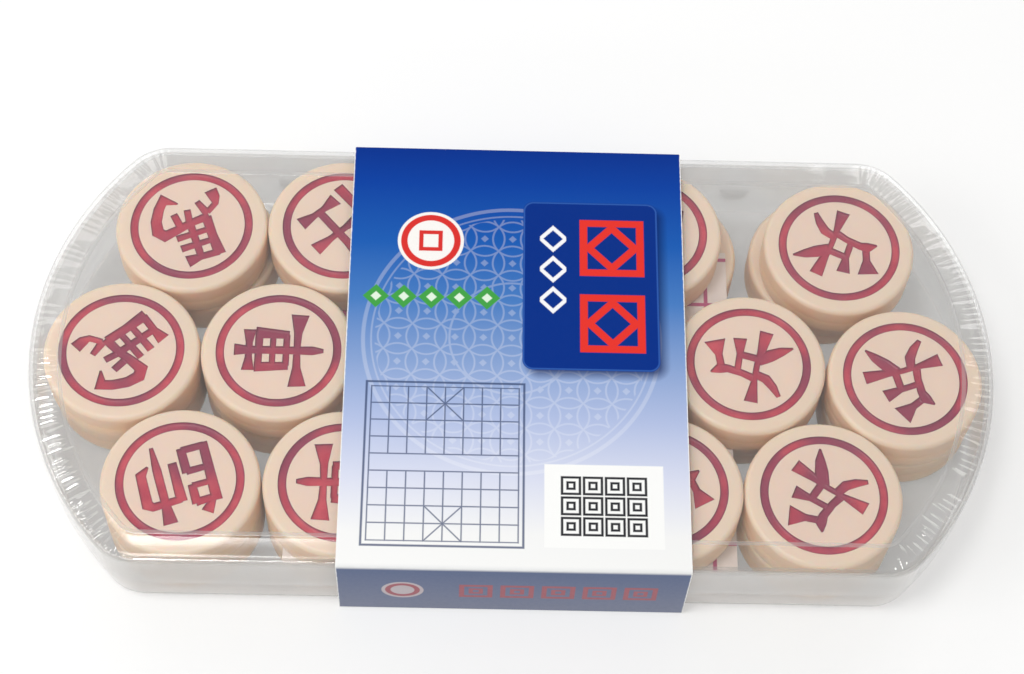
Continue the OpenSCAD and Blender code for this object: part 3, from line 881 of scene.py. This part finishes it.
real = add(tree, "GeometryNodeRealizeInstances", add(tree, "GeometryNodeSetShadeSmooth", moved))
add(tree, "NodeGroupOutput", add(tree, "GeometryNodeSetMaterial", real, into={
    "Material": given["Film Material"]}))
skin = run_tree(film, tree, film_in, {
    "Ray Spacing": 1.7 * MM, "Ray Height": 0.34 * MM, "Fold Spacing": 9 * MM, "Fold Height": 0.3 * MM,
    "Wall Height": 0.05 * MM, "Ceiling": FILM_CEILING * MM, "Seed": 3.7, "Film Material": shrink_film,
}, wall=FILM_T * MM)
skin.name = "film_skin"
place_piece("film_skin", skin, "boxed_set", ["shrink_film"])

# Sleeve: one strip of white-lined card, printed outside, folded round the set and closed by a glued flap.
# Its print is laid out on the flat strip: u across it, v from the top's back fold forwards and round.
CARD_T, FOLD_R, FLAP_W = 0.4, 0.7, 14.0
card_low, card_high = (Vector(c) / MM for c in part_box("card_sleeve"))
card_x = (card_low.x + card_high.x) / 2
card_half = card_high.y


def strip_section(inset):
    """The folded strip's section, inset from its outside: along the top from the back, then round."""
    r = FOLD_R - inset
    y, top, low = card_half - inset, card_high.z - inset, card_low.z + inset
    section = [(y - r, top)]
    folds = ((-y + r, top - r, 90), (-y + r, low + r, 180), (y - r, low + r, 270), (y - r, top - r, 0))
    for cy, cz, start in folds:
        turns = [math.radians(start + 90 * i / 8) for i in range(9)]
        section += [(cy + r * math.cos(a), cz + r * math.sin(a)) for a in turns]
    return section[:-1]


outside, inside = strip_section(0.0), strip_section(CARD_T)
travel = [0.0]
for (y0, z0), (y1, z1) in zip(outside, outside[1:] + outside[:1]):
    travel.append(travel[-1] + math.hypot(y1 - y0, z1 - z0))
work = bmesh.new()
flat_uv = work.loops.layers.uv.new("strip")
ends = (card_low.x, card_high.x)
skin = [[work.verts.new((x * MM, y * MM, z * MM)) for y, z in outside] for x in ends]
lining = [[work.verts.new((x * MM, y * MM, z * MM)) for y, z in inside] for x in ends]
count = len(outside)
for i in range(count):
    j = (i + 1) % count
    face = work.faces.new((skin[0][i], skin[0][j], skin[1][j], skin[1][i]))
    for corner, x, v in zip(face.loops, (0, 0, 1, 1), (i, i + 1, i + 1, i)):
        corner[flat_uv].uv = (ends[x] - card_x, travel[v])
    work.faces.new((lining[0][i], lining[1][i], lining[1][j], lining[0][j])).material_index = 1
    for k in (0, 1):
        work.faces.new((skin[k][i], skin[k][j], lining[k][j], lining[k][i])).material_index = 1
flap = [(card_half - CARD_T - FLAP_W, CARD_T + 0.02), (card_half - CARD_T - FOLD_R, CARD_T + 0.02),
        (card_half - CARD_T - FOLD_R, 2 * CARD_T), (card_half - CARD_T - FLAP_W, 2 * CARD_T)]
tab = [[work.verts.new(((x + s) * MM, y * MM, (card_low.z + z) * MM)) for y, z in flap]
       for x, s in ((ends[0], 1.5), (ends[1], -1.5))]
for face in bridge(work, *tab) + [work.faces.new(end) for end in tab]:
    face.material_index = 1
bmesh.ops.recalc_face_normals(work, faces=work.faces)
sleeve = as_mesh(work, "sleeve_strip")
smooth_by_angle(sleeve, 40)


def within(distance, soft=0.2):
    """How much ink lies where a distance field is below zero, with an edge as soft as print."""
    return distance.math("MULTIPLY_ADD", -1 / soft, 0.5, use_clamp=True)


def rule_line(distance, width):
    """Ink along the zero line of a distance field."""
    return within(abs(distance) - width / 2)


def from_middle(x, y):
    """Distance from the middle of a motif."""
    return (x * x + y * y).math("SQRT")


def square_field(x, y, half_x, half_y):
    """Distance field of a square-cornered block."""
    return most(abs(x) - half_x, abs(y) - half_y)


def round_field(x, y, half_x, half_y, r):
    """Distance field of a block with round corners."""
    return from_middle(most(abs(x) - (half_x - r), 0.0), most(abs(y) - (half_y - r), 0.0)) - r


def lozenge_field(x, y, reach):
    """Distance field of a square stood on its corner."""
    return (abs(x) + abs(y) - reach) * 0.7


def each_cell(x, pitch):
    """A coordinate that starts again in the middle of every cell."""
    return (x + pitch / 2).math("FLOORED_MODULO", pitch) - pitch / 2


def lattice_ornament(x, y, half):
    """A window-lattice square: a frame, a lozenge in it and bars that tie the two together."""
    bar = half * 0.24
    frame_ink = rule_line(square_field(x, y, half - bar / 2, half - bar / 2), bar)
    lozenge_ink = rule_line(lozenge_field(x, y, half * 0.72), bar)
    ties = most(rule_line(x, bar), rule_line(y, bar)) * within(square_field(x, y, half, half))
    return most(frame_ink, lozenge_ink, ties * within(lozenge_field(x, y, half * 0.62) * -1.0))


# White-lined carton, offset printed and varnished: a blue that fades to white towards the front, a pale
# coin-lattice roundel, a deep blue panel, a diagram of the game's board and plain ornament.
printed_card, tree = new_material("printed_carton")
flat = outputs(add(tree, "ShaderNodeSeparateXYZ", add(tree, "ShaderNodeUVMap", uv_map="strip")))
u, v = flat["X"], flat["Y"]
STRIP_RUN = travel[-1]
ink = add(tree, "ShaderNodeValToRGB", v / STRIP_RUN)
# The front side's tones, from 106 to 129, are set darker and greyer than the top's blues. This is painted
# shade, and they lighten towards the bottom as a painted reflection of the table.
TINTS = ((0.0, "#00318c"), (9.0, "#033f9e"), (25.0, "#1a5bb0"), (40.0, "#477bbf"), (55.0, "#849fce"),
         (70.0, "#b1bee0"), (84.0, "#d7dbec"), (97.0, "#f1f1f0"), (105.0, "#f3f3f1"), (106.0, "#5f6d8f"),
         (129.0, "#7d8399"), (131.0, "#f1f1f0"), (170.0, "#9db1d8"), (205.0, "#2f6ab7"), (236.0, "#00318c"))
ramp = ink.socket.node.color_ramp
ramp.elements.remove(ramp.elements[0])
for spot, code in TINTS:
    stop = ramp.elements.new(spot / STRIP_RUN) if spot else ramp.elements[0]
    stop.position = spot / STRIP_RUN
    stop.color = linear(code)

# The roundel: interlaced coins with a lozenge in each, inside three rings.
ROUNDEL_U, ROUNDEL_V, ROUNDEL_R = -1.0, 49.3, 33.4
COIN = 6.4
COIN_R = COIN * math.sqrt(0.5)
ru, rv = u - ROUNDEL_U, v - ROUNDEL_V
cu, cv = abs(each_cell(ru, COIN)), abs(each_cell(rv, COIN))
coins = [rule_line(from_middle(cu - du, cv - dv) - COIN_R, 0.42)
         for du, dv in ((0.0, 0.0), (COIN, 0.0), (0.0, COIN))]
coins = most(within(lozenge_field(cu, cv, 0.9)), *coins)
reach = from_middle(ru, rv)
rings = [rule_line(reach - ring, width)
         for ring, width in ((ROUNDEL_R, 0.9), (ROUNDEL_R - 1.8, 0.4), (ROUNDEL_R * 0.42, 0.5))]
roundel = most(coins * within(reach - (ROUNDEL_R - 2.6)), *rings)

# The deep blue panel: its shadow, its rim, two red ornaments and a column of white lozenges.
PANEL_U, PANEL_V, PANEL_HU, PANEL_HV = 16.9, 35.3, 15.5, 21.8
pu, pv = u - PANEL_U, v - PANEL_V
shade = within(round_field(pu - 1.2, pv - 1.4, PANEL_HU, PANEL_HV, 2.8), 2.4)
panel = within(round_field(pu, pv, PANEL_HU, PANEL_HV, 2.4))
rim = rule_line(round_field(pu, pv, PANEL_HU - 0.25, PANEL_HV - 0.25, 2.2), 0.35)
reds = most(lattice_ornament(pu - 4.9, pv + 9.8, 7.4), lattice_ornament(pu - 4.9, pv - 9.8, 7.4))
column_u, column_v = pu + 8.6, pv + 4.0
whites = rule_line(lozenge_field(column_u, each_cell(column_v, 8.0), 2.9), 0.9)
whites = whites * within(square_field(column_u, column_v, 3.0, 12.0))

# A coin, and a row of green lozenges below it.
coin_u, coin_v = u + 19.8, v - 24.5
from_coin = from_middle(coin_u, coin_v)
badge = within(from_coin - 7.6)
badge_red = most(rule_line(from_coin - 6.1, 1.5), rule_line(square_field(coin_u, coin_v, 2.2, 2.2), 1.0))
row_u, row_v = u + 19.3, v - 39.2
row = within(square_field(row_u, row_v, 15.7, 4.0))
greens, green_eyes = (within(lozenge_field(each_cell(row_u, 6.3), row_v, r)) * row for r in (3.0, 1.2))

# The board diagram: nine files and ten ranks, with the river between and a palace at either end.
CELL = 4.1
BOARD_U, BOARD_V = -15.6, 80.4
BOARD_HU, BOARD_HV = 4 * CELL, 4.5 * CELL
bu, bv = u - BOARD_U, v - BOARD_V
ranks = rule_line(each_cell(bv + CELL / 2, CELL), 0.3)
ashore = within((abs(bv) - CELL / 2) * -1.0)
files = rule_line(each_cell(bu, CELL), 0.3) * ashore
edge_files = rule_line(abs(bu) - BOARD_HU, 0.34)
palace_v = abs(bv) - 3.5 * CELL
saltire = rule_line((abs(bu) - abs(palace_v)) * 0.7, 0.3) * within(square_field(bu, palace_v, CELL, CELL))
inside_frame = within(square_field(bu, bv, BOARD_HU + 0.15, BOARD_HV + 0.15))
grid = most(ranks, files, edge_files, saltire) * inside_frame
grid = most(grid, rule_line(square_field(bu, bv, BOARD_HU + 1.1, BOARD_HV + 1.1), 0.5))

# A white label with a block of fretwork squares.
LABEL_U, LABEL_V, LABEL_HU, LABEL_HV = 19.4, 90.0, 13.0, 9.8
FRET = 4.8
lu, lv = u - LABEL_U, v - LABEL_V
label = within(square_field(lu, lv, LABEL_HU, LABEL_HV))
fret_at = most(abs(each_cell(lu + FRET / 2, FRET)), abs(each_cell(lv, FRET)))
fret = most(rule_line(fret_at - 1.95, 0.55), rule_line(fret_at - 0.75, 0.55))
fret = fret * within(square_field(lu, lv, 9.6, 7.2))

# The front side: a row of squares and a coin, in muted, darker inks that are painted shade and painted
# reflection. The underside: a panel with a row of ornaments.
FRONT_V, BASE_V = 117.5, 183.0
front_u, front_v = u - 10.0, v - FRONT_V
front_at = most(abs(each_cell(front_u, 9.0)), abs(front_v))
front_reds = most(rule_line(front_at - 3.1, 1.1), rule_line(front_at - 1.1, 0.9))
front_reds = front_reds * within(square_field(front_u, front_v, 22.4, 4.0))
from_front_coin = from_middle(u + 24.0, front_v)
front_badge = within(from_front_coin - 4.6)
front_ring = rule_line(from_front_coin - 3.2, 1.2)
base_v = v - BASE_V
under = within(round_field(u, base_v, 20.0, 16.0, 2.4))
under_reds = lattice_ornament(each_cell(u, 17.0), base_v, 6.2) * within(square_field(u, base_v, 16.8, 9.0))

# Wear: ink chipped off in specks, along the cut edges and at the front fold.
where = add(tree, "ShaderNodeTexCoord", out="Object")
worn = noise(tree, where, 1.1, 4.0, 0.6)
specks = (most(worn.math("MULTIPLY_ADD", 14.0, -10.6), 0.0) * 0.5).math("MINIMUM", 0.6)
from_edge = worn.math("MULTIPLY_ADD", 0.3, abs(u)) - (card_high.x - card_x - 0.02)
crease = rule_line(v - (travel[1] + 0.5), 0.5)
for code, cover in (
    ("#ffffff", roundel * 0.17),
    ("#001c58", shade * 0.8),
    ("#002f86", panel),
    ("#3d6fc0", rim * 0.55),
    ("#e5352c", reds),
    ("#f4f4f6", whites),
    ("#f5f2ee", badge),
    ("#d8332f", badge_red),
    ("#43a047", greens),
    ("#dff0dc", green_eyes),
    ("#39496e", grid * 0.85),
    ("#f7f7f5", label),
    ("#2b2b30", fret),
    # The front side's inks are muted and darker than the same inks elsewhere: painted shade and painted
    # reflection.
    ("#a8636c", front_reds),
    ("#c3b9bd", front_badge),
    ("#a8636c", front_ring),
    ("#002f86", under),
    ("#e5352c", under_reds),
    ("#f4f4f2", crease * 0.35),
    ("#f6f6f4", most(specks, within(from_edge * -1.0))),
):
    ink = blend(tree, cover, ink, code)
fibre = noise(tree, where, 0.9, 3.0)
rough = fibre.span(0.3, 0.7, 0.34, 0.46)
add(tree, "ShaderNodeOutputMaterial", solid(
    tree, ink, rough, 1.45, bump(tree, fibre, 0.12, 0.02), {"Specular IOR Level": 0.12}))

# The strip's inside and cut edges show the bare, faintly fibrous white lining.
white_card, tree = new_material("white_carton_lining")
fibre = noise(tree, add(tree, "ShaderNodeTexCoord", out="Object"), 0.6, 3.0)
tone = blend(tree, fibre, "#dcd9d3", "#f0eeea")
add(tree, "ShaderNodeOutputMaterial", solid(tree, tone, 0.75, 1.45, bump(tree, fibre, 0.2, 0.03)))
sleeve.materials.append(printed_card)
sleeve.materials.append(white_card)
place_piece("sleeve_strip", sleeve, "sleeve", ["card_sleeve"])
